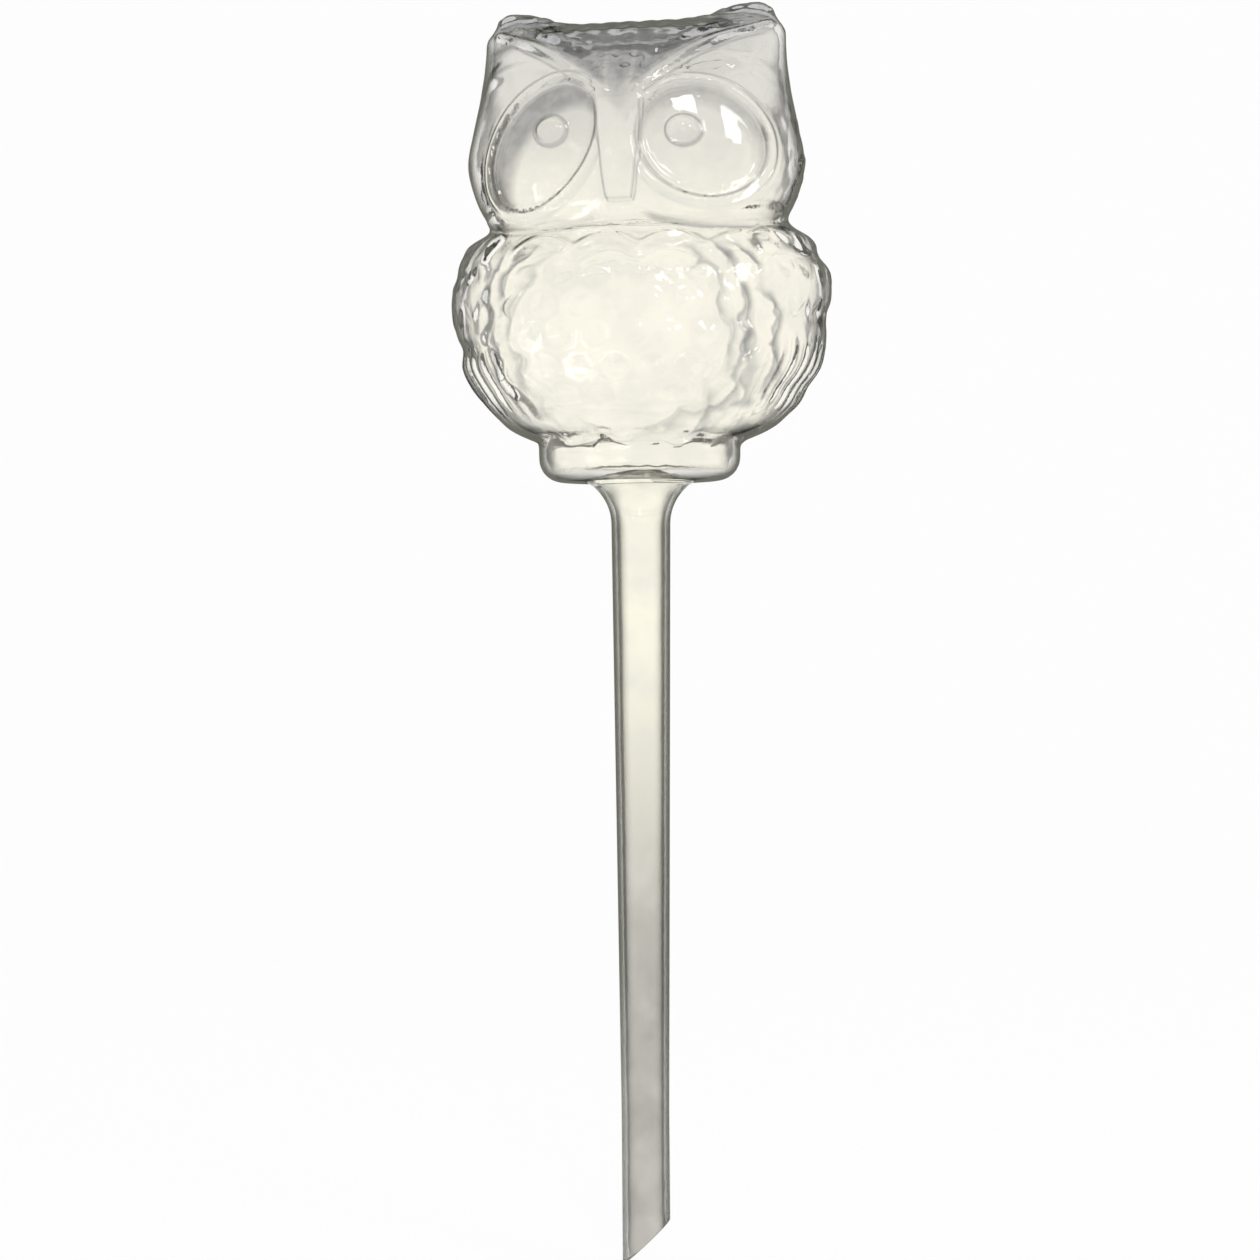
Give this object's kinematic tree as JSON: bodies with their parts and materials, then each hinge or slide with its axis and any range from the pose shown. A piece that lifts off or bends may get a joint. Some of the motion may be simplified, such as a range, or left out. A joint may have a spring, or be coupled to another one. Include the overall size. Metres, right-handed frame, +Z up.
{
  "type": "self watering spike",
  "caption": "Clear hollow owl-shaped water reservoir on a long hollow stem with a slanted open tip, pushed into the soil of a plant pot so that it waters the plant slowly.",
  "frame": {"origin": "on the stem's axis, at the flat underside of the plinth, where the spike stops on the soil", "axes": "+Z up along the stem's axis towards the owl's ears, -Y is the way the owl's face looks, +X towards the right of someone who looks at the face"},
  "size_m": [0.0856, 0.0572, 0.2779],
  "materials": {
    "clear_owl": "clear, glossy, moulded",
    "clear_stem": "clear, glossy, smooth tube"
  },
  "bodies": {
    "root": {"owl_reservoir": "clear_owl", "watering_stem": "clear_stem"}
  },
  "joints": []
}
